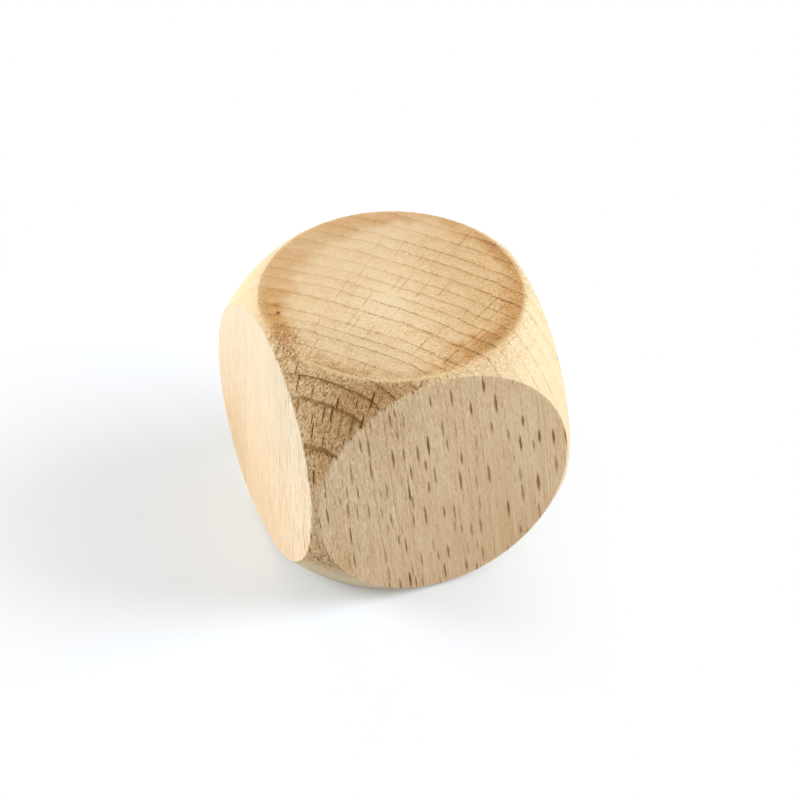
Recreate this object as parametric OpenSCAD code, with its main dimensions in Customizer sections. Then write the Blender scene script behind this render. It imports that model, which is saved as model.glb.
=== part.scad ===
// A blank wooden die: one block of beech, cut as a cube and then turned back to a ball at its
// corners and edges. Each side keeps a round flat, and the flats all but touch at the middle of
// each edge. The grain stands along Z, so the top and the base show end grain, and the four
// sides show the side of the grain. Nothing is marked on it.

/* [Cube] */
// Distance between opposite flats
cube_side = 20; // [12:1:50]
// Width left between a flat's rim and the edge of the cube, at the middle of each edge
edge_gap = 0.3; // [0.1:0.05:3]

/* [Rims] */
// Radius that softens the rims of the two end-grain flats, which crush and tear in tumbling
end_rim_r = 0.3; // [0.1:0.05:0.6]
// Radius that softens the rims of the four side-grain flats, which stay crisp
side_rim_r = 0.15; // [0.1:0.05:0.6]

/* [Hidden] */
$fn = 180;

half_side = cube_side / 2;
flat_r = half_side - edge_gap;
// The ball passes through the rims of all the flats
ball_r = sqrt(pow(half_side, 2) + pow(flat_r, 2));
// Widest softening that still leaves a strip of ball between two flats at the middle of an edge
strip_share = 0.8;
rim_limit = strip_share * (sqrt(2) * half_side - ball_r) / (sqrt(2) - 1);

// Half of the outline through one axis: a flat, its soft rim, the ball, and the same below.
// The rim is an arc that leaves the flat and runs into the ball without an edge at either end.
module rim_outline(rim_r) {
    soft_r = min(rim_r, rim_limit);
    rise = half_side - soft_r;
    run = sqrt(pow(ball_r - soft_r, 2) - pow(rise, 2));
    past_ball = 2;
    translate([0, -half_side]) square([run, cube_side]);
    for (side = [-1, 1]) translate([run, side * rise]) circle(soft_r);
    intersection() {
        circle(ball_r);
        polygon(past_ball * [[0, 0], [run, rise], [run, -rise]]);
    }
}

// The ball with two opposite flats and their rims
module flatted_ball(rim_r) rotate_extrude() rim_outline(rim_r);

// What the three pairs of flats share
module block() {
    color("burlywood") translate([0, 0, half_side]) intersection() {
        flatted_ball(end_rim_r);
        rotate([90, 0, 0]) flatted_ball(side_rim_r);
        rotate([0, 90, 0]) flatted_ball(side_rim_r);
    }
}

block();
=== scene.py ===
"""A blank beech die with ball-turned corners, modelled in detail round its packed construction."""
import math

import bpy
from bpy.props import FloatProperty, FloatVectorProperty, IntProperty, PointerProperty
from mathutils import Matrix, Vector


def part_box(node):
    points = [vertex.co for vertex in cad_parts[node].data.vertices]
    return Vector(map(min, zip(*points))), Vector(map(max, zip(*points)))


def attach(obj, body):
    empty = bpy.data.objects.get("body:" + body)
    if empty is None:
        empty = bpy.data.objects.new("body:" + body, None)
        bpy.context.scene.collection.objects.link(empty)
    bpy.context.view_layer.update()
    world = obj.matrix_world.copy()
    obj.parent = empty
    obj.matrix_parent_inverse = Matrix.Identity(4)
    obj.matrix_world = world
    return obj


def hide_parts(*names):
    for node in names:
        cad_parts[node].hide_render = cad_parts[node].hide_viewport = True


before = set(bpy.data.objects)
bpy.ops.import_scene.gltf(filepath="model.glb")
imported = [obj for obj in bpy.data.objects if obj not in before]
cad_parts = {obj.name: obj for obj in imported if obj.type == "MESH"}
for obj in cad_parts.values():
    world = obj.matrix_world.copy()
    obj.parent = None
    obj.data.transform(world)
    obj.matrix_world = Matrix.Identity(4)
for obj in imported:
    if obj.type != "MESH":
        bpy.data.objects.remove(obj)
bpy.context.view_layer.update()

bl_info = {
    "name": "Wooden Cube",
    "version": (1, 0, 0),
    "blender": (4, 5, 0),
    "location": "3D View > Sidebar > Wooden Cube",
    "description": "Models a beech cube with ball-turned corners, and the studio that it stands in",
    "category": "Add Mesh",
}

MM = 0.001
# Points closer together than this are at one place
TOUCHING = 0.001 * MM
NODE = "block"
BODY = "root"


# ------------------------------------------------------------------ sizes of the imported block

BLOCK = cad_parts[NODE]
LOWEST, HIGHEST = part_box(NODE)
CENTRE = (LOWEST + HIGHEST) / 2
HALF = (HIGHEST.z - LOWEST.z) / 2
# Radius of the ball that the cube is cut back to
BALL = max((v.co - CENTRE).length for v in BLOCK.data.vertices)


def flat_reach(axis):
    """How far from its axis the flat on that axis reaches, where its rim starts to turn down."""
    offsets = [v.co - CENTRE for v in BLOCK.data.vertices]
    on_flat = [p for p in offsets if abs(p[axis] - HALF) < TOUCHING]
    return max(math.sqrt(p.length_squared - p[axis] ** 2) for p in on_flat)


def rim_radius(reach):
    """Radius of the arc that leaves a flat at that reach and runs into the ball."""
    return (BALL ** 2 - HALF ** 2 - reach ** 2) / (2 * (BALL - HALF))


END_REACH = flat_reach(2)
SIDE_REACH = flat_reach(0)


# ------------------------------------------------------------------ small helpers

def linear(red, green, blue):
    """Turns a colour from 0 to 255, as a screen shows it, into a shader's numbers, by the sRGB curve."""
    shares = [value / 255 for value in (red, green, blue)]
    return [share / 12.92 if share <= 0.04045 else ((share + 0.055) / 1.055) ** 2.4 for share in shares]


def select_only(*objects):
    """Leaves just these objects selected, with the first of them active."""
    bpy.ops.object.select_all(action="DESELECT")
    for thing in objects:
        thing.select_set(True)
    bpy.context.view_layer.objects.active = objects[0]


def to_edit():
    """Goes into edit mode, where points are selected."""
    bpy.ops.object.mode_set(mode="EDIT")
    bpy.ops.mesh.select_mode(type="VERT")


def to_object():
    """Goes back to object mode."""
    bpy.ops.object.mode_set(mode="OBJECT")


def select_points(thing, wanted):
    """In edit mode, selects the points for which wanted(place) is true, and nothing else."""
    bpy.ops.mesh.select_all(action="DESELECT")
    to_object()
    for vertex in thing.data.vertices:
        vertex.select = wanted(vertex.co)
    to_edit()


def smooth_step(low, high, value):
    """0 up to low, 1 from high on, and a soft S between them."""
    share = min(max((value - low) / (high - low), 0), 1)
    return share * share * (3 - 2 * share)


# ------------------------------------------------------------------ shader arithmetic

class Wire:
    """A number that runs from one node to the next. Arithmetic on it adds Math nodes."""

    def __init__(self, tree, socket):
        self.tree = tree
        self.socket = socket

    def math(self, operation, *others):
        """What a Math node makes of this number and the others."""
        inputs = dict(enumerate((self, *others)))
        return self.tree.add("ShaderNodeMath", {"operation": operation}, inputs)

    def __add__(self, other):
        return self.math("ADD", other)

    def __sub__(self, other):
        return self.math("SUBTRACT", other)

    def __rsub__(self, other):
        return self.math("MULTIPLY", -1).math("ADD", other)

    def __mul__(self, other):
        return self.math("MULTIPLY", other)

    def __truediv__(self, other):
        return self.math("DIVIDE", other)

    def __pow__(self, other):
        return self.math("POWER", other)

    def __abs__(self):
        return self.math("ABSOLUTE")

    __radd__ = __add__
    __rmul__ = __mul__

    def clamp(self):
        """The same number, kept from 0 to 1."""
        return self.math("MINIMUM", 1).math("MAXIMUM", 0)

    def step(self, low, high):
        """0 up to low, 1 from high on, and a soft S between them. low may be the larger one."""
        return self.tree.add("ShaderNodeMapRange", {"interpolation_type": "SMOOTHSTEP"},
                             {0: self, 1: low, 2: high, 3: 0, 4: 1})

    def beside(self, name):
        """Another output of the node that this wire comes from."""
        return Wire(self.tree, self.socket.node.outputs[name])


class Tree:
    """The nodes of one material, or of the world."""

    def __init__(self, owner):
        owner.use_nodes = True
        self.nodes = owner.node_tree.nodes
        self.links = owner.node_tree.links
        self.nodes.clear()

    def add(self, kind, settings=None, inputs=None, output=0):
        """Adds a node, with its settings set first and then its sockets, by name or by number.

        Returns a wire from one of its outputs, or nothing if it has none.
        """
        node = self.nodes.new(kind)
        for name, value in (settings or {}).items():
            if name == "stops":
                self.set_stops(node.color_ramp, value)
            else:
                setattr(node, name, value)
        for name, value in (inputs or {}).items():
            if isinstance(value, Wire):
                self.links.new(value.socket, node.inputs[name])
            else:
                node.inputs[name].default_value = value
        return Wire(self, node.outputs[output]) if len(node.outputs) else None

    @staticmethod
    def set_stops(ramp, stops):
        """Gives a ramp its stops, as (place, grey) pairs."""
        while len(ramp.elements) > 1:
            ramp.elements.remove(ramp.elements[-1])
        for i, (place, grey) in enumerate(stops):
            stop = ramp.elements[0] if i == 0 else ramp.elements.new(place)
            stop.position = place
            stop.color = (grey, grey, grey, 1)

    def vector(self, x, y, z):
        """A vector from three numbers."""
        return self.add("ShaderNodeCombineXYZ", inputs={0: x, 1: y, 2: z})

    def split(self, vector):
        """The three numbers of a vector or a colour."""
        x = self.add("ShaderNodeSeparateXYZ", inputs={0: vector})
        return x, x.beside("Y"), x.beside("Z")

    def mix(self, share, first, second):
        """Mixes two colours, each of them a wire or three numbers."""
        first, second = (colour if isinstance(colour, Wire) else (*colour, 1) for colour in (first, second))
        return self.add("ShaderNodeMix", {"data_type": "RGBA"}, {0: share, 6: first, 7: second}, output=2)

    def three_tone(self, tone, pale, middle, dark):
        """Runs from a pale colour over a middle one to a dark one as the tone goes from 0 to 1."""
        lower = self.mix((tone * 2).clamp(), pale, middle)
        return self.mix((tone * 2 - 1).clamp(), lower, dark)

    def noise(self, vector, detail, roughness):
        """Cloudy noise from 0 to 1, with lumps about one unit of the vector apart."""
        return self.add("ShaderNodeTexNoise", {"noise_dimensions": "3D"},
                        {"Vector": vector, "Scale": 1, "Detail": detail, "Roughness": roughness})

    def cells(self, vector, spread, output):
        """Cells about one unit of the vector apart, whose middles stray from a grid by the spread."""
        return self.add("ShaderNodeTexVoronoi", {"voronoi_dimensions": "3D", "feature": "F1"},
                        {"Vector": vector, "Scale": 1, "Randomness": spread}, output)

    def chance(self, number):
        """A chance number from 0 to 1 for each whole number."""
        return self.add("ShaderNodeTexWhiteNoise", {"noise_dimensions": "1D"}, {"W": number})

    def note(self, name):
        """A number that mark_surfaces has noted on the mesh."""
        return self.add("ShaderNodeAttribute", {"attribute_name": name}, output="Fac")

    def seen_directly(self):
        """1 for rays from the camera or through gloss and glass, 0 for the light that reaches the block."""
        seen = self.add("ShaderNodeLightPath", output="Is Camera Ray")
        mirrored = seen.beside("Is Glossy Ray")
        through = seen.beside("Is Transmission Ray")
        return seen.math("MAXIMUM", mirrored).math("MAXIMUM", through)


# ------------------------------------------------------------------ the block

# How far a side's rings run past its corners before they are cut, in radians
CUT_ROOM = 0.01
# Where the tearing starts and is full, as cosines of the angle from the torn corner and from the edge
# below it, and as heights from the block's middle in half sides. Down the edge it is a little weaker
CORNER_TEAR = (0.8, 0.93)
EDGE_TEAR = (0.76, 0.93)
TEAR_FOOT = (-0.8, -0.45)
EDGE_TEAR_STRENGTH = 0.8


def side_outline(reach, shape):
    """Half of a side's outline, from inside its flat to past its corners, as (radius, height) pairs."""
    rim = rim_radius(reach)
    outline = []
    radius = reach
    step = shape.finest_step
    while radius > reach - shape.rim_band:
        outline.insert(0, (radius, HALF))
        radius -= step
        step *= shape.step_growth
    rim_end = math.atan2(reach, HALF - rim)
    for i in range(1, shape.rim_steps + 1):
        turn = rim_end * i / shape.rim_steps
        outline.append((reach + rim * math.sin(turn), HALF - rim + rim * math.cos(turn)))
    quarter = math.pi / 4
    past_corner = math.acos(1 / math.sqrt(3)) + CUT_ROOM
    rings = math.ceil((past_corner - quarter) * BALL / shape.ball_step)
    for i in range(rings + 1):
        turn = quarter + (past_corner - quarter) * i / rings
        outline.append((BALL * math.sin(turn), BALL * math.cos(turn)))
    return outline


def model_side(reach, shape):
    """One side, facing up: its flat, its rim and its share of the ball, cut where its neighbours begin."""
    outline = side_outline(reach, shape)
    radius, height = outline[0]
    bpy.ops.object.select_all(action="DESELECT")
    bpy.ops.mesh.primitive_circle_add(vertices=shape.around, radius=radius, fill_type="NOTHING",
                                      location=CENTRE + Vector((0, 0, height)))
    side = bpy.context.object
    bpy.ops.object.transform_apply(location=True, rotation=True, scale=True)
    to_edit()
    for next_radius, next_height in outline[1:]:
        bpy.ops.mesh.extrude_edges_move(TRANSFORM_OT_translate={"value": (0, 0, next_height - height)})
        growth = next_radius / radius
        middle = CENTRE + Vector((0, 0, next_height))
        bpy.ops.transform.resize(value=(growth, growth, 1), center_override=middle)
        radius, height = next_radius, next_height
    inner = outline[0][0] + TOUCHING
    select_points(side, lambda place: math.hypot(place.x, place.y) < inner)
    bpy.ops.mesh.fill_grid(span=shape.around // 4)
    for outward in ((1, 0, -1), (-1, 0, -1), (0, 1, -1), (0, -1, -1)):
        bpy.ops.mesh.select_all(action="SELECT")
        bpy.ops.mesh.bisect(plane_co=CENTRE, plane_no=outward, clear_outer=True, threshold=TOUCHING / 100)
    to_object()
    return side


def turn(thing, axis, angle):
    """Turns a side about the block's centre."""
    select_only(thing)
    to_edit()
    bpy.ops.mesh.select_all(action="SELECT")
    bpy.ops.transform.rotate(value=angle, orient_axis=axis, orient_type="GLOBAL", center_override=CENTRE)
    to_object()
    return thing


def copy_of(thing):
    """A copy of a side, with a mesh of its own."""
    select_only(thing)
    bpy.ops.object.duplicate()
    return bpy.context.object


def model_body(shape):
    """The whole block, from two kinds of side: end grain above and below, side grain all round."""
    right_angle = math.pi / 2
    top = model_side(END_REACH, shape)
    base = turn(copy_of(top), "X", math.pi)
    front = turn(model_side(SIDE_REACH, shape), "X", right_angle)
    others = [turn(copy_of(front), "Z", right_angle * i) for i in (1, 2, 3)]
    select_only(top, base, front, *others)
    bpy.ops.object.join()
    body = bpy.context.object
    to_edit()
    bpy.ops.mesh.select_all(action="SELECT")
    bpy.ops.mesh.remove_doubles(threshold=2 * TOUCHING)
    bpy.ops.mesh.normals_make_consistent(inside=False)
    to_object()
    body.name = "beech_block"
    body.data.name = "beech_block"
    return body


def side_under(place):
    """How far out a point lies along the axis of its own side, and how far that side's flat reaches."""
    out = max(abs(part) for part in place)
    reach = END_REACH if abs(place.z) == out else SIDE_REACH
    return out, reach


def ball_share(place):
    """0 on the flats, 1 on the ball, and in between on the rims. place is from the block's centre."""
    out, reach = side_under(place)
    rim = rim_radius(reach)
    rim_drop = rim * (1 - math.cos(math.atan2(reach, HALF - rim)))
    return min(max((HALF - out) / rim_drop, 0), 1)


def past_rim(place):
    """How far a point lies past the rim of its flat, over the ball. Inside the flat it is negative."""
    out, reach = side_under(place)
    aside = math.sqrt(place.length_squared - out ** 2) - reach
    return aside if HALF - out < TOUCHING else math.hypot(aside, HALF - out)


def torn_share(place, band):
    """1 at the rims of the two end-grain flats, falling to 0 a band away from them."""
    from_rim = math.hypot(math.hypot(place.x, place.y) - END_REACH, abs(place.z) - HALF)
    return 1 - smooth_step(0, band, from_rim)


def corner_share(place, corner):
    """1 about one corner of the block, falling to 0 round it but running on down the edge below it."""
    towards = place.normalized()
    edge = Vector((corner[0], corner[1], 0))
    at_corner = smooth_step(*CORNER_TEAR, towards.dot(Vector(corner).normalized()))
    at_edge = smooth_step(*EDGE_TEAR, towards.dot(edge.normalized()))
    above_foot = smooth_step(*TEAR_FOOT, place.z / HALF)
    return max(at_corner, at_edge * above_foot * EDGE_TEAR_STRENGTH)


def mark_surfaces(body, shape):
    """Notes where each point lies, in groups for the relief and in attributes for the finish."""
    places = [vertex.co - CENTRE for vertex in body.data.vertices]
    torn_rim = [torn_share(place, shape.torn_band) for place in places]
    groups = {"ball_cut": [ball_share(place) for place in places], "torn_rim": torn_rim}
    for name, shares in groups.items():
        group = body.vertex_groups.new(name=name)
        for i, share in enumerate(shares):
            if share > 0:
                group.add([i], share, "REPLACE")
    notes = {"torn_rim_share": torn_rim,
             "torn_corner_share": [corner_share(place, shape.torn_corner) for place in places],
             "past_rim": [past_rim(place) / MM for place in places]}
    for name, values in notes.items():
        body.data.attributes.new(name, "FLOAT", "POINT").data.foreach_set("value", values)


def roughen(body, group, lump, depth):
    """Sinks a group's points by up to the depth given, as cloudy noise with lumps of that size."""
    clouds = bpy.data.textures.new(group, "CLOUDS")
    clouds.noise_scale = lump
    clouds.noise_depth = 3
    clouds.noise_basis = "ORIGINAL_PERLIN"
    relief = body.modifiers.new(group, "DISPLACE")
    relief.texture = clouds
    relief.texture_coords = "LOCAL"
    relief.vertex_group = group
    relief.direction = "NORMAL"
    relief.mid_level = 1
    relief.strength = depth
    select_only(body)
    bpy.ops.object.modifier_apply(modifier=group)


# ------------------------------------------------------------------ the beech

# Places and sizes in the wood are in millimetres: x and y from the block's axis, z up from the floor
TOP = 2 * HALF / MM
LEFT = -HALF / MM
# Where the pith of the log stands, seen from above
PITH = (-40.4, -36.3)
PITH_AWAY = math.hypot(*PITH)
# How far the fibres lean towards the left as they rise
LEAN = 0.11
# Widths of the year rings, outwards from this distance from the pith
FIRST_RING = 39.6
RING_WIDTHS = (1.7, 1.8, 1.1, 1.0, 1.4, 1.5, 0.9, 1.0, 1.8, 1.3, 1.1, 1.1, 1.2, 1.3, 1.3, 1.1, 1.4, 1.3,
               1.1, 1.3, 1.4, 1.2, 1.3, 1.2, 1.4)
# How far a ring bends and wavers, how far it steps from one bundle of fibres to the next, and how wide
# a bundle is
RING_BEND = 0.16
RING_WAVER = 0.085
RING_STEP = 0.19
BUNDLE = 1.3
# How ragged a ray is, and how far inside its face its dark middle and its brown edge start and are full
RAY_RAGGED = 0.035
RAY_MIDDLE = (-0.006, 0.034)
RAY_EDGE = (-0.06, 0.02)
# Marks on the ends, seen from above: x and y of the middle, then width and depth
# The first three are browner patches near the rims
LEFT_BROWN_PATCH = (-9.9, 0.2, 4.4, 9.0)
RIGHT_BROWN_PATCH = (9.4, 2.6, 3.0, 9.0)
NEAR_BROWN_PATCH = (4.5, -7.8, 8.0, 4.0)
PIT = (-8.35, 1.0, 0.36, 0.42)
PIT_STAIN = (-8.25, 1.95, 0.7, 0.9)
# A painted highlight in the middle of the ends, where the top catches the light
PAINTED_HIGHLIGHT = (-1.1, -0.9, 5.0, 5.5)
SCUFF = (-8.9, -3.2, 4.0, 8.0)
BURN = (-9.2, -2.6, 2.6, 4.6)
# Height of the bumps in the wood, how rough its flats and its corners are, and how glossy it is
GRAIN_DEPTH = 0.02
FLAT_ROUGHNESS = 0.6
BALL_ROUGHNESS = 0.72
GLOSS = 0.1


class LogPlace:
    """Where a point of the block lay in the log, and which way its surface faces."""

    def __init__(self, tree):
        place = tree.add("ShaderNodeTexCoord", output="Object")
        facing = tree.split(place.beside("Normal"))
        self.tree = tree
        self.x, self.y, self.z = (part / MM for part in tree.split(place))
        self.facing_up = abs(facing[2])
        self.facing_ray = abs((facing[0] * PITH[1] - facing[1] * PITH[0]) / PITH_AWAY)
        self.fibre_x = self.x + (self.z - TOP) * LEAN
        from_pith_x = self.fibre_x - PITH[0]
        from_pith_y = self.y - PITH[1]
        self.out = (from_pith_x * from_pith_x + from_pith_y * from_pith_y) ** 0.5
        self.round = from_pith_y.math("ARCTAN2", from_pith_x) * PITH_AWAY
        self.from_axis = (self.x * self.x + self.y * self.y) ** 0.5

    def log_noise(self, round_size, out_size, up_size, detail=2, roughness=0.5):
        """Noise from -1 to 1, whose lumps have these sizes round the log, out from the pith and up it."""
        vector = self.tree.vector(self.round / round_size, self.out / out_size, self.z / up_size)
        return self.tree.noise(vector, detail, roughness) * 2 - 1

    def along_fibres(self, width, length):
        """A vector that counts widths across the fibres and lengths along them."""
        return self.tree.vector(self.fibre_x / width, self.y / width, self.z / length)

    def fibre_noise(self, width, length, detail=2, roughness=0.5):
        """Noise from -1 to 1, whose lumps are round across the fibres and drawn out along them."""
        return self.tree.noise(self.along_fibres(width, length), detail, roughness) * 2 - 1

    def fibre_cells(self, width, length):
        """A number from -1 to 1 for each of the short fibres that lie side by side, mostly near 0."""
        cell = self.tree.cells(self.along_fibres(width, length), spread=1, output="Color")
        luck = self.tree.split(cell)[0] * 2 - 1
        return luck * abs(luck)

    def spot(self, oval, ragged):
        """1 in the middle of an oval seen from above, falling to 0 at its ragged edge."""
        x, y, width, depth = oval
        aside = (self.x - x) / (width / 2)
        away = (self.y - y) / (depth / 2)
        return (1 - aside * aside - away * away + ragged).step(0, 1)


class Rays:
    """Broad rays: thin upright lenses that run out from the pith, each one in a space of its own.

    room is that space's size round the log, up it and out from the pith. Heights and reaches are from
    a ray's middle to its ends, and widths are from its middle to its faces. Two kinds of rays with
    different starts don't fall together.
    """

    def __init__(self, log, room, heights, widths, reaches, start=0):
        tree = log.tree
        vector = tree.vector(log.round / room[0] + start, log.z / room[1], log.out / room[2])
        middle = tree.cells(vector, spread=0.85, output="Position")
        offset = tree.add("ShaderNodeVectorMath", {"operation": "SUBTRACT"}, {0: vector, 1: middle})
        aside, up, out = (part * unit for part, unit in zip(tree.split(offset), room))
        # Three chance numbers for each ray
        size, self.depth, self.luck = tree.split(middle.beside("Color"))
        rise = up / self.between(heights, size)
        reach = out / self.between(reaches, size)
        ragged = log.fibre_noise(width=0.25, length=0.5, detail=1) * RAY_RAGGED
        inside = (1 - rise * rise - reach * reach * reach * reach) * self.between(widths, size)
        inside = inside - abs(aside + ragged)
        self.middle = inside.step(*RAY_MIDDLE)
        self.edge = inside.step(*RAY_EDGE)

    @staticmethod
    def between(limits, share):
        """The number that lies that share of the way from the first limit to the second."""
        first, second = limits
        return share * (second - first) + first


def ring_stops():
    """The ramp that counts the rings: it climbs by one share for each ring's width."""
    total = sum(RING_WIDTHS)
    borders = [sum(RING_WIDTHS[:i]) / total for i in range(len(RING_WIDTHS) + 1)]
    return [(border, i / len(RING_WIDTHS)) for i, border in enumerate(borders)]


class Rings:
    """The year rings: each one darkens outwards and ends in a thin line, stepped from bundle to bundle."""

    def __init__(self, log):
        tree = log.tree
        bend = log.log_noise(round_size=4, out_size=4, up_size=9) * RING_BEND
        waver = log.log_noise(round_size=0.45, out_size=0.9, up_size=1.5, roughness=0.6) * RING_WAVER
        bundle_edge = log.log_noise(round_size=1.5, out_size=3, up_size=4, detail=1) * 0.6
        bundle = (log.round / BUNDLE + bundle_edge).math("FLOOR")
        stepped = tree.chance(bundle) * RING_STEP
        place = (log.out + (bend + waver) + stepped - FIRST_RING - RING_STEP / 2) / sum(RING_WIDTHS)
        count = tree.add("ShaderNodeValToRGB", {"stops": ring_stops()}, {0: place}) * len(RING_WIDTHS)
        within = count.math("FRACT")
        self.strength = tree.chance(count.math("FLOOR")) * 0.65 + 0.35
        broken = log.log_noise(round_size=1.5, out_size=0.6, up_size=2.5, detail=3, roughness=0.7)
        self.broken = broken.step(-0.18, 0.12)
        self.late = within.step(0.2, 1.0) * within.step(1.0, 0.95)
        self.band = within.step(0.6, 0.9) * within.step(1.0, 0.93)
        self.line = within.step(0.83, 0.93) * within.step(1.0, 0.95)
        self.thin = within.step(0.84, 0.91) * within.step(1.0, 0.96)


class BeechWood:
    """What the block's surfaces are like, and the colour of each.

    Patterns go from -1 to 1, and surfaces and marks from 0, where they aren't, to 1, where they are.
    past_rim alone is in millimetres. A surface has its pale colour where its tone is 0, its middle one
    where it is a half and its dark one where it is 1.
    """

    def __init__(self, tree, grain):
        log = LogPlace(tree)
        self.tree = tree
        self.grain = grain
        self.log = log
        self.rings = Rings(log)
        self.rays = Rays(log, room=(0.64, 2.1, 3.0), heights=(0.45, 1.15), widths=(0.042, 0.072),
                         reaches=(0.8, 1.7))
        self.short_rays = Rays(log, room=(0.95, 1.4, 1.5), heights=(0.45, 1.05), widths=(0.055, 0.11),
                               reaches=(0.45, 0.9), start=7)

        # Patterns, from fine to broad
        self.dots = log.fibre_cells(width=0.1, length=0.35)
        self.speck = log.fibre_noise(width=0.13, length=0.6, roughness=0.75)
        self.fibre = log.fibre_noise(width=0.2, length=3, detail=3, roughness=0.75)
        self.streak = log.fibre_noise(width=0.32, length=10, detail=3, roughness=0.7)
        self.strokes_round = log.log_noise(round_size=1.3, out_size=0.13, up_size=1.5, roughness=0.7)
        self.strokes_out = log.log_noise(round_size=0.13, out_size=1.1, up_size=1.5, roughness=0.7)
        self.mottle = log.fibre_noise(width=1.1, length=5, detail=3, roughness=0.6)
        self.cloud = log.fibre_noise(width=3.8, length=12)
        self.crumbs = self.speck * 0.5 + self.dots * 0.4 + self.strokes_round * 0.2 + self.strokes_out * 0.2

        # Surfaces: what is torn, what is cut by the ball, the ends, the left side, the foot, the crushed
        # fibres of the end rims, and all that lies to the left of the torn corner's middle
        self.torn = tree.note("torn_corner_share")
        self.torn_rim = tree.note("torn_rim_share")
        self.past_rim = tree.note("past_rim")
        frayed = self.speck * (0.12 + self.torn * 0.3)
        frayed_side = (self.fibre + self.streak) * (1 - log.facing_up) * 0.7
        self.ball = (self.past_rim + frayed + frayed_side).step(0, 0.15)
        self.up = log.facing_up.step(0.85, 0.95)
        self.on_end = self.up * (1 - self.ball)
        self.on_left = log.x.step(LEFT + 0.4, LEFT + 0.1)
        self.foot = log.z.step(6, 1)
        near_left = (log.x * -0.6 - log.y + self.cloud * 2).step(0, 7) * log.z.step(4, 12)
        crushed = (self.torn_rim * 1.6 - 0.6 + self.speck * 1.2 + self.strokes_out).clamp()
        self.crushed = crushed * (0.1 + near_left * 0.8)
        self.leftwards = (log.y - log.x).step(3.8, 5.6)

        # Marks: how clear the end grain is, its ring lines and what lies on it
        self.late = self.rings.late * self.rings.strength
        self.clear = (log.x * 0.35 - log.y + self.cloud * 3).step(-8, 3)
        self.dotted = (self.speck * 1.6 + self.dots + 0.75).clamp() * (self.rings.broken * 0.85 + 0.15)
        end_lines = self.rings.thin * (self.rings.strength * 0.8 + 0.2) * (self.clear * 0.75 + 0.25)
        self.end_lines = end_lines * self.dotted
        self.pit = log.spot(PIT, self.speck)
        # The painted highlight in the middle of the ends
        self.painted_highlight = log.spot(PAINTED_HIGHLIGHT, self.mottle + self.speck * 0.5)

    def side_colour(self):
        """Side grain: fine fibres, coarser high up on the front's left and browner towards the floor."""
        log, grain, on_left = self.log, self.grain, self.on_left
        coarse = (log.z - log.x).step(0, 20) * log.y.step(0, -8)
        fine = self.fibre * (0.2 + coarse * 0.1) + self.speck * (0.12 + coarse * 0.16)
        fine = fine + self.dots * (0.05 + coarse * 0.1)
        paler_left = on_left * (0.06 - log.y.step(-8, 2) * 0.05)
        low_left = on_left * log.z.step(13, 4) * log.y.step(0, 8) * 0.12
        beside_left = log.x.step(-5, -9) * (1 - on_left) * 0.03
        tone = 0.21 + fine * (1 - on_left * 0.55) + self.streak * (0.2 - on_left * 0.06) + self.mottle * 0.05
        tone = tone + self.cloud * 0.13 + self.late * 0.05 + log.z.step(9, 0) * 0.08 - paler_left
        tone = tone + low_left + beside_left
        return self.tree.three_tone(tone, grain.side_pale, grain.side_middle, grain.side_dark)

    def end_brown_patches(self):
        """How much browner the ends are in some patches, round the pit and towards the right."""
        log, mottle = self.log, self.mottle
        stain = log.spot(LEFT_BROWN_PATCH, mottle * 0.5) * 0.18 + log.spot(RIGHT_BROWN_PATCH, mottle * 0.4) * 0.11
        stain = stain + log.spot(PIT_STAIN, mottle) * 0.2 + (log.x - log.y * 0.3 + mottle).step(0, 6) * 0.17
        return stain + log.spot(NEAR_BROWN_PATCH, mottle) * 0.14

    def end_grit(self):
        """The fine marks on the ends: grit all over, strongest where the rings are clear, and a scuff."""
        log, speck, mottle = self.log, self.speck, self.mottle
        grit = speck * 0.23 + self.dots * 0.16 + self.strokes_out * 0.11 + self.strokes_round * 0.18
        grit = grit * (0.3 + self.clear * 0.6) * (1 + self.cloud + mottle)
        scuff = speck * 0.3 + self.strokes_out * 0.4 + self.dots * 0.2
        return grit, log.spot(SCUFF, mottle * 0.6 + speck * 0.4) * scuff

    def end_colour(self):
        """End grain: ring lines that fade away to the far left, and a brown band inside its rim."""
        log, rings, grain, clear = self.log, self.rings, self.grain, self.clear
        far_left = (log.y - log.x * 0.8).step(2, 11)
        near_right = log.from_axis.step(4.2, 8.6) * (log.x * 0.8 - log.y).step(5, 11.5)
        band = (log.from_axis + self.cloud * 0.9 + self.mottle * 0.5 + far_left * 1.5).step(7.6, 9.4)
        band = band * (0.85 + self.cloud * 0.4 + self.mottle * 0.15)
        band = band * (0.29 - near_right * 0.1 - log.y.step(-4, -9) * 0.05)
        grit, scuff = self.end_grit()
        tone = 0.13 - clear * 0.05 + rings.line * (0.05 + clear * 0.1) + self.late * 0.09
        # Paler in the middle as a painted highlight
        tone = tone + band + self.end_brown_patches() - self.painted_highlight * 0.09
        tone = tone + grit + self.mottle * 0.1 + self.cloud * 0.06 + near_right * 0.06 + scuff
        tone = tone + self.pit * 0.6
        return self.tree.three_tone(tone, grain.end_pale, grain.end_middle, grain.end_dark)

    def smooth_colour(self):
        """The corners that were cut clean: pale, most crumbled at the top and right, least at the foot.
        Paler at the foot as painted light against its shade, and darker just under the near end rim, partly
        rough wood and partly painted shade.
        """
        log, grain = self.log, self.grain
        to_right = (log.x - log.y).step(-6, 8)
        to_far_left = (log.y - log.x).step(1, 10)
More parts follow.
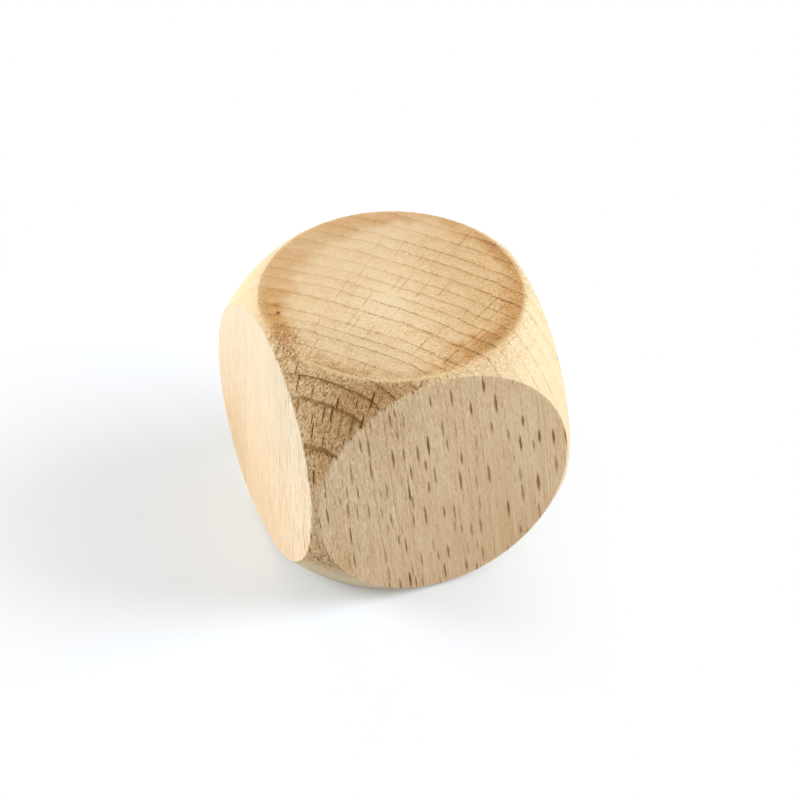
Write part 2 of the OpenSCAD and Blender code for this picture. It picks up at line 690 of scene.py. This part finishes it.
        # Under the near end rim: crumbs and a darker tone, partly rough wood and partly painted shade below
        # the pale lip
        over_front = (log.x * -0.5 - log.y).step(3.5, 8) * log.z.step(17.3, 19.4) * (1 - self.torn)
        crumbled = 0.14 + (self.torn_rim * 0.45 + log.z.step(16.5, 19.5) * 0.3) * (0.2 + to_right * 0.8)
        crumbled = crumbled * (1 - self.foot * 0.7) + over_front * 0.12
        tone = 0.2 + self.crumbs * crumbled + self.mottle * 0.06 + self.cloud * 0.06
        # Paler at the foot as painted light against the shade there
        tone = tone + self.late * 0.06 - self.foot * 0.16 + over_front * 0.14 + to_far_left * 0.1
        return self.tree.three_tone(tone, grain.ball_pale, grain.ball_middle, grain.ball_dark)

    def torn_and_shaded_colour(self):
        """The corner that was cut against the grain: crumbs of brown, redder on its right half. Its brown is
        partly the torn wood and partly painted shade.
        """
        log, rings, grain = self.log, self.rings, self.grain
        redder = (log.x - log.y + self.cloud * 2).step(-2, 5)
        coarse = 0.95 + self.mottle * 0.5 + log.z.step(13, 5) * 0.45
        tone = 0.3 + redder * 0.12 + self.crumbs * coarse + self.mottle * 0.06 + self.cloud * 0.06
        tone = tone + rings.band * (rings.strength * 0.1 + 0.05) + self.late * 0.08
        tone = tone + log.z.step(12, 5) * 0.09
        colour = self.tree.three_tone(tone, grain.torn_pale, grain.torn_middle, grain.torn_dark)
        return self.tree.mix(redder * 0.3, colour, grain.torn_red)

    def rim_colour(self):
        """Crushed fibres at the end rims, burnt brown on the left."""
        grain = self.grain
        burnt = self.log.spot(BURN, self.mottle)
        tone = 0.1 + self.speck * (0.6 + burnt * 0.5) + self.dots * 0.4 + self.strokes_out * 0.4
        tone = tone + burnt * 0.4
        return self.tree.three_tone(tone, grain.rim_pale, grain.end_middle, grain.torn_dark)

    def lip_and_highlight_share(self):
        """A pale lip all round the end rims, strongest at the near right: partly pale crushed fibres, partly
        a painted highlight where the rim catches the light.
        """
        lip = (1 - abs(self.past_rim + self.speck * 0.16) * 5).clamp() * self.torn_rim.step(0.8, 0.95)
        return lip * (0.2 + (self.log.x * 0.7 - self.log.y).step(-1, 7) * 0.6)

    def painted_light_share(self):
        """How much painted light lies on the wood, as a pale washed-out colour: glare on the left side,
        strongest high up, lightening the shaded foot of the smooth corners, and on the ends a painted
        highlight in the middle and paler towards the far side.
        """
        log = self.log
        left = self.on_left * (log.z.step(5, 18) * 0.35 + 0.08) * (1 - self.ball)
        corner_foot = self.ball * (1 - self.torn) * self.foot * 0.55
        end = self.on_end * (self.painted_highlight * 0.1 + log.y.step(1, 9) * 0.12)
        return left + corner_foot + end

    def ring_share(self):
        """How strong the ring lines are: on the ends, and round the corners, most of all the torn one."""
        log, rings, torn = self.log, self.rings, self.torn
        on_smooth = (1 - torn) * (0.3 + log.z.step(13, 18) * 0.75) * (self.dotted * 0.6 + 0.4)
        cut = rings.thin * (rings.broken * 0.35 + 0.65) * (rings.strength * 0.25 + 0.75)
        cut = cut * (0.31 + torn * 0.49) * (torn + on_smooth)
        cut = cut * (1 - self.leftwards * 0.8) * (0.35 + log.z.step(9, 15.5) * 0.65)
        return self.end_lines * self.on_end * 0.45 + cut * self.ball * (1 - self.crushed * 0.6)

    def ray_shares(self):
        """The rays' middles and edges: flecks on the sides, thin lines on the ends, gashes where torn."""
        log, rays, short_rays = self.log, self.rays, self.short_rays
        chain = (log.log_noise(round_size=1.3, out_size=6, up_size=10) * 1.6 + 0.75).clamp()
        shown = (0.35 + rays.depth * 0.65) * (0.5 + chain * 0.5) * (1 - self.on_end) * (1 - self.ball * 0.93)
        on_end = rays.luck.step(0.3, 0.9) * self.on_end * (self.clear * 0.48 + 0.06)
        on_end = on_end * (self.dotted * 0.65 + 0.35)
        shown = (shown + on_end) * (1 - self.on_left * (0.35 + log.y.step(-9, -1) * 0.4))
        shown = shown * log.facing_ray.step(0.95, 0.84)
        torn_shown = short_rays.luck.step(0.1, 0.65) * self.ball * self.torn.step(0, 0.5) * log.z.step(3, 7)
        torn_shown = torn_shown * (1 - self.leftwards * 0.6)
        middles = rays.middle * shown + short_rays.middle * torn_shown
        edges = rays.edge * shown + short_rays.edge * torn_shown
        return middles, edges

    def relief(self, rays):
        """How high the wood stands: specks and fibres above, the pit, the rays and the ring lines below."""
        rough = 0.5 + self.clear * 0.3 + self.ball * 0.3 + self.torn * 1.3 + self.crushed * 2
        height = self.speck * rough + self.dots * self.torn + self.fibre * 0.4 - self.pit * 4
        height = height - rays * (0.8 + self.torn * 2) - self.rings.thin * self.torn * 0.8
        return height - self.end_lines * 1.5


def beech_material(grain):
    """The beech: each surface's own colour, and what runs on over all of them."""
    material = bpy.data.materials.new("beech")
    tree = Tree(material)
    wood = BeechWood(tree, grain)
    rays, ray_edges = wood.ray_shares()
    colour = tree.mix(wood.up, wood.side_colour(), wood.end_colour())
    # The torn corner's colour is partly painted shade
    colour = tree.mix(wood.ball, colour, tree.mix(wood.torn, wood.smooth_colour(), wood.torn_and_shaded_colour()))
    # Painted light: the wood washed out where the lamps glare on the left, lightened at the shaded foot of
    # the smooth corners, and a painted highlight on the ends
    colour = tree.mix(wood.painted_light_share(), colour, grain.painted_light)
    colour = tree.mix(wood.crushed, colour, wood.rim_colour())
    # The pale lip: partly crushed fibres, partly a painted highlight on the rim
    colour = tree.mix(wood.lip_and_highlight_share(), colour, grain.rim_pale)
    colour = tree.mix(wood.ring_share(), colour, grain.ring_line)
    colour = tree.mix(ray_edges * 0.45, colour, grain.ray_edge)
    colour = tree.mix(rays * (1 - wood.crushed * 0.5) * 0.95, colour, grain.ray_core)
    normal = tree.add("ShaderNodeBump", inputs={
        "Strength": 1, "Distance": GRAIN_DEPTH * MM, "Height": wood.relief(rays)})
    shader = tree.add("ShaderNodeBsdfPrincipled", inputs={
        "Base Color": colour, "Roughness": FLAT_ROUGHNESS + wood.ball * (BALL_ROUGHNESS - FLAT_ROUGHNESS),
        "Specular IOR Level": GLOSS, "Normal": normal})
    tree.add("ShaderNodeOutputMaterial", inputs={"Surface": shader})
    return material


# ------------------------------------------------------------------ the studio

FLOOR_RADIUS = 3
LAMP_DISTANCE = 0.6
# Where the floor starts to turn plain and is plain, out from its middle and to the camera's right
FADE_OUTWARDS = (1.8 * HALF, 4.4 * HALF)
FADE_RIGHTWARDS = (0.3 * HALF, 1.7 * HALF)
# How plain it is where it keeps the shadow
PLAIN_NEARBY = 0.16


def floor_material(stage):
    """A white floor that keeps the block's shadow, turns plain further off and throws little light back."""
    material = bpy.data.materials.new("pale_floor")
    tree = Tree(material)
    seen = tree.seen_directly()
    x, y = tree.split(tree.add("ShaderNodeTexCoord", output="Object"))[:2]
    rightwards = x * math.cos(stage.camera_azimuth) + y * math.sin(stage.camera_azimuth)
    outwards = (x * x + y * y) ** 0.5
    plainness = outwards.step(*FADE_OUTWARDS).math("MAXIMUM", rightwards.step(*FADE_RIGHTWARDS))
    colour = tree.mix(seen, stage.floor_bounce, stage.floor_colour)
    lit = tree.add("ShaderNodeBsdfDiffuse", inputs={"Color": colour})
    plain = tree.add("ShaderNodeEmission", inputs={"Color": (1, 1, 1, 1), "Strength": 1})
    share = seen * (PLAIN_NEARBY + plainness * (1 - PLAIN_NEARBY))
    both = tree.add("ShaderNodeMixShader", inputs={0: share, 1: lit, 2: plain})
    tree.add("ShaderNodeOutputMaterial", inputs={"Surface": both})
    return material


def add_soft_light(name, direction, size, level, colour):
    """A square lamp aimed at the block, bright enough to light a surface facing it to the level given."""
    towards = Vector(direction).normalized()
    bpy.ops.object.select_all(action="DESELECT")
    bpy.ops.object.light_add(type="AREA", location=CENTRE + towards * LAMP_DISTANCE,
                             rotation=towards.to_track_quat("Z", "Y").to_euler())
    lamp = bpy.context.object
    lamp.name = name
    lamp.data.name = name
    lamp.data.size = size
    lamp.data.energy = level * (math.pi * LAMP_DISTANCE) ** 2
    lamp.data.color = colour


def set_world(stage):
    """A room that looks white and lights the block more softly than it looks."""
    world = bpy.data.worlds.new("white_room")
    bpy.context.scene.world = world
    tree = Tree(world)
    soft = tree.add("ShaderNodeBackground", inputs={
        "Color": (*stage.sky_colour, 1), "Strength": stage.sky_level})
    white = tree.add("ShaderNodeBackground", inputs={"Color": (1, 1, 1, 1), "Strength": 1})
    both = tree.add("ShaderNodeMixShader", inputs={0: tree.seen_directly(), 1: soft, 2: white})
    tree.add("ShaderNodeOutputWorld", inputs={"Surface": both})


def add_camera(stage):
    """A long lens from the front left, looking down on the block."""
    azimuth = stage.camera_azimuth
    elevation = stage.camera_elevation
    level = math.cos(elevation)
    away = Vector((math.sin(azimuth) * level, -math.cos(azimuth) * level, math.sin(elevation)))
    bpy.ops.object.select_all(action="DESELECT")
    bpy.ops.object.camera_add(location=CENTRE + away * stage.camera_distance,
                              rotation=(math.pi / 2 - elevation, 0, azimuth))
    camera = bpy.context.object
    camera.name = "studio_camera"
    camera.data.lens = stage.camera_lens
    camera.data.shift_x = stage.camera_shift
    camera.data.shift_y = stage.camera_rise
    camera.data.clip_start = 0.01
    bpy.context.scene.camera = camera


# ------------------------------------------------------------------ settings

class BlockShape(bpy.types.PropertyGroup):
    """How finely the block is modelled, and how rough its cut parts are."""

    around: IntProperty(name="Around", description="Points round a side's rim", default=320)
    finest_step: FloatProperty(name="Finest step", description="Width of the narrowest ring on a flat",
                               default=0.03 * MM, subtype="DISTANCE", unit="LENGTH", precision=5)
    step_growth: FloatProperty(name="Step growth", description="How much wider each ring is", default=1.22)
    rim_band: FloatProperty(name="Rim band", description="Width of the ringed part of a flat",
                            default=1.6 * MM, subtype="DISTANCE", unit="LENGTH", precision=5)
    rim_steps: IntProperty(name="Rim steps", description="Rings over the rim's arc", default=5)
    ball_step: FloatProperty(name="Ball step", description="Width of the rings over the ball",
                             default=0.13 * MM, subtype="DISTANCE", unit="LENGTH", precision=5)
    torn_band: FloatProperty(name="Torn band", description="How far crushed fibres reach from the end rims",
                             default=0.9 * MM, subtype="DISTANCE", unit="LENGTH", precision=5)
    torn_corner: FloatVectorProperty(name="Torn corner", description="Direction of the torn corner",
                                     default=(-1, -1, 1), subtype="DIRECTION")
    rim_lump: FloatProperty(name="Rim lumps", description="Size of the lumps in the crushed end rims",
                            default=0.45 * MM, subtype="DISTANCE", unit="LENGTH", precision=5)
    rim_depth: FloatProperty(name="Rim depth", description="Depth of the hollows in the crushed end rims",
                             default=0.12 * MM, subtype="DISTANCE", unit="LENGTH", precision=5)
    ball_lump: FloatProperty(name="Corner lumps", description="Size of the lumps in the cut corners",
                             default=0.35 * MM, subtype="DISTANCE", unit="LENGTH", precision=5)
    ball_depth: FloatProperty(name="Corner depth", description="Depth of the hollows in the cut corners",
                              default=0.03 * MM, subtype="DISTANCE", unit="LENGTH", precision=5)


class BeechGrain(bpy.types.PropertyGroup):
    """The colours of the wood. Each surface runs between a pale one and a dark one."""

    side_pale: FloatVectorProperty(name="Side grain, pale", description="Lightest fibres of the sides",
                                   default=linear(238, 215, 180), subtype="COLOR")
    side_middle: FloatVectorProperty(name="Side grain, middle", description="Brown fibres of the sides",
                                     default=linear(202, 165, 119), subtype="COLOR")
    side_dark: FloatVectorProperty(name="Side grain, dark", description="Darkest fibres of the sides",
                                   default=linear(124, 84, 46), subtype="COLOR")
    end_pale: FloatVectorProperty(name="End grain, pale", description="Lightest parts of the ends",
                                  default=linear(238, 212, 169), subtype="COLOR")
    end_middle: FloatVectorProperty(name="End grain, middle", description="Brown parts of the ends",
                                    default=linear(201, 151, 93), subtype="COLOR")
    end_dark: FloatVectorProperty(name="End grain, dark", description="Darkest parts of the ends",
                                  default=linear(112, 74, 34), subtype="COLOR")
    ball_pale: FloatVectorProperty(name="Corners, pale", description="Lightest parts of the smooth corners",
                                   default=linear(242, 224, 187), subtype="COLOR")
    ball_middle: FloatVectorProperty(name="Corners, middle", description="Brown parts of the smooth corners",
                                     default=linear(218, 184, 136), subtype="COLOR")
    ball_dark: FloatVectorProperty(name="Corners, dark", description="Darkest parts of the smooth corners",
                                   default=linear(140, 104, 60), subtype="COLOR")
    # The torn corner's colours are partly painted shade, darker and browner than the other corners
    torn_pale: FloatVectorProperty(name="Torn wood, pale", description="Lightest parts of the torn corner",
                                   default=linear(240, 214, 170), subtype="COLOR")
    torn_middle: FloatVectorProperty(name="Torn wood, middle", description="Brown parts of the torn corner",
                                     default=linear(201, 157, 104), subtype="COLOR")
    torn_dark: FloatVectorProperty(name="Torn wood, dark", description="Darkest parts of the torn corner",
                                   default=linear(98, 62, 22), subtype="COLOR")
    torn_red: FloatVectorProperty(name="Torn wood, red", description="Tint of the torn corner's right half",
                                  default=linear(202, 146, 98), subtype="COLOR")
    ring_line: FloatVectorProperty(name="Ring lines", description="Colour of the line that ends a year ring",
                                   default=linear(130, 88, 42), subtype="COLOR")
    # Not a colour of the wood: a pale washed-out colour painted where the lamps glare and over shade
    painted_light: FloatVectorProperty(name="Painted light", description="Pale washed-out colour painted for glare and against shade",
                                  default=linear(222, 212, 189), subtype="COLOR")
    # Also the colour of the pale lip, which is partly a painted highlight
    rim_pale: FloatVectorProperty(name="Crushed rim, pale", description="Lightest fibres of the end rims",
                                  default=linear(242, 210, 160), subtype="COLOR")
    ray_core: FloatVectorProperty(name="Ray flecks", description="Colour of the middle of a ray fleck",
                                  default=linear(108, 74, 24), subtype="COLOR")
    ray_edge: FloatVectorProperty(name="Ray edges", description="Colour of the wood beside a ray fleck",
                                  default=linear(162, 120, 68), subtype="COLOR")


class StudioStage(bpy.types.PropertyGroup):
    """The camera, the lights and the floor."""

    camera_azimuth: FloatProperty(name="Azimuth", description="Turn of the camera about the block",
                                  default=math.radians(-21.69), subtype="ANGLE")
    camera_elevation: FloatProperty(name="Elevation", description="Height of the camera above the floor",
                                    default=math.radians(40.707), subtype="ANGLE")
    camera_distance: FloatProperty(name="Distance", description="From the camera to the block's centre",
                                   default=0.3225, subtype="DISTANCE", unit="LENGTH")
    camera_lens: FloatProperty(name="Lens", description="Focal length in millimetres", default=197.9)
    camera_shift: FloatProperty(name="Shift", description="Sideways shift of the lens", default=0.0101)
    camera_rise: FloatProperty(name="Rise", description="Upward shift of the lens", default=-0.0009)
    sky_level: FloatProperty(name="Room light", description="Light from all round", default=0.56)
    sky_colour: FloatVectorProperty(name="Room colour", description="Tint of the light from all round",
                                    default=(1.0, 0.975, 0.93), subtype="COLOR")
    right_level: FloatProperty(name="Right light", description="Level of the right lamp", default=0.92)
    left_level: FloatProperty(name="Left light", description="Level of the left lamp", default=1.32)
    lamp_colour: FloatVectorProperty(name="Lamp colour", description="Tint of both lamps",
                                     default=(0.94, 1.0, 1.1), subtype="COLOR")
    floor_colour: FloatVectorProperty(name="Floor", description="Colour of the floor",
                                      default=(0.9, 0.93, 0.96), subtype="COLOR")
    floor_bounce: FloatVectorProperty(name="Floor bounce", description="Colour of the light off the floor",
                                      default=(0.6, 0.585, 0.565), subtype="COLOR")


# ------------------------------------------------------------------ operators

class WOODCUBE_OT_block(bpy.types.Operator):
    """Models the beech block and gives it its finish"""

    bl_idname = "wood_cube.block"
    bl_label = "Beech Block"

    def execute(self, context):
        shape = context.scene.block_shape
        body = model_body(shape)
        mark_surfaces(body, shape)
        roughen(body, "torn_rim", shape.rim_lump, shape.rim_depth)
        roughen(body, "ball_cut", shape.ball_lump, shape.ball_depth)
        select_only(body)
        bpy.ops.object.shade_smooth()
        body.data.materials.append(beech_material(context.scene.beech_grain))
        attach(body, BODY)
        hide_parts(NODE)
        return {"FINISHED"}


class WOODCUBE_OT_stage(bpy.types.Operator):
    """Sets out the floor, the lights and the camera"""

    bl_idname = "wood_cube.stage"
    bl_label = "Studio"

    def execute(self, context):
        stage = context.scene.studio_stage
        bpy.ops.object.select_all(action="DESELECT")
        bpy.ops.mesh.primitive_circle_add(vertices=96, radius=FLOOR_RADIUS, fill_type="NGON",
                                          location=(0, 0, LOWEST.z))
        floor = bpy.context.object
        floor.name = "pale_floor"
        floor.data.materials.append(floor_material(stage))
        add_soft_light("right_softbox", direction=(1, -0.35, 0.52), size=0.35,
                       level=stage.right_level, colour=stage.lamp_colour)
        add_soft_light("left_softbox", direction=(-1, 0.8, 0.2), size=0.3,
                       level=stage.left_level, colour=stage.lamp_colour)
        set_world(stage)
        add_camera(stage)
        context.scene.view_settings.view_transform = "Standard"
        return {"FINISHED"}


class WOODCUBE_PT_panel(bpy.types.Panel):
    """Lists the steps that make the cube and its studio"""

    bl_label = "Wooden Cube"
    bl_idname = "WOODCUBE_PT_panel"
    bl_space_type = "VIEW_3D"
    bl_region_type = "UI"
    bl_category = "Wooden Cube"

    def draw(self, context):
        for step in STEPS:
            self.layout.operator(step.bl_idname)


STEPS = (WOODCUBE_OT_block, WOODCUBE_OT_stage)
SETTINGS = {"block_shape": BlockShape, "beech_grain": BeechGrain, "studio_stage": StudioStage}


def register():
    for name, kind in SETTINGS.items():
        bpy.utils.register_class(kind)
        setattr(bpy.types.Scene, name, PointerProperty(type=kind))
    for kind in (*STEPS, WOODCUBE_PT_panel):
        bpy.utils.register_class(kind)


def unregister():
    for kind in (WOODCUBE_PT_panel, *reversed(STEPS)):
        bpy.utils.unregister_class(kind)
    for name, kind in SETTINGS.items():
        delattr(bpy.types.Scene, name)
        bpy.utils.unregister_class(kind)


def main():
    """Makes the cube and its studio."""
    register()
    bpy.ops.wood_cube.block()
    bpy.ops.wood_cube.stage()


if __name__ == "__main__":
    main()
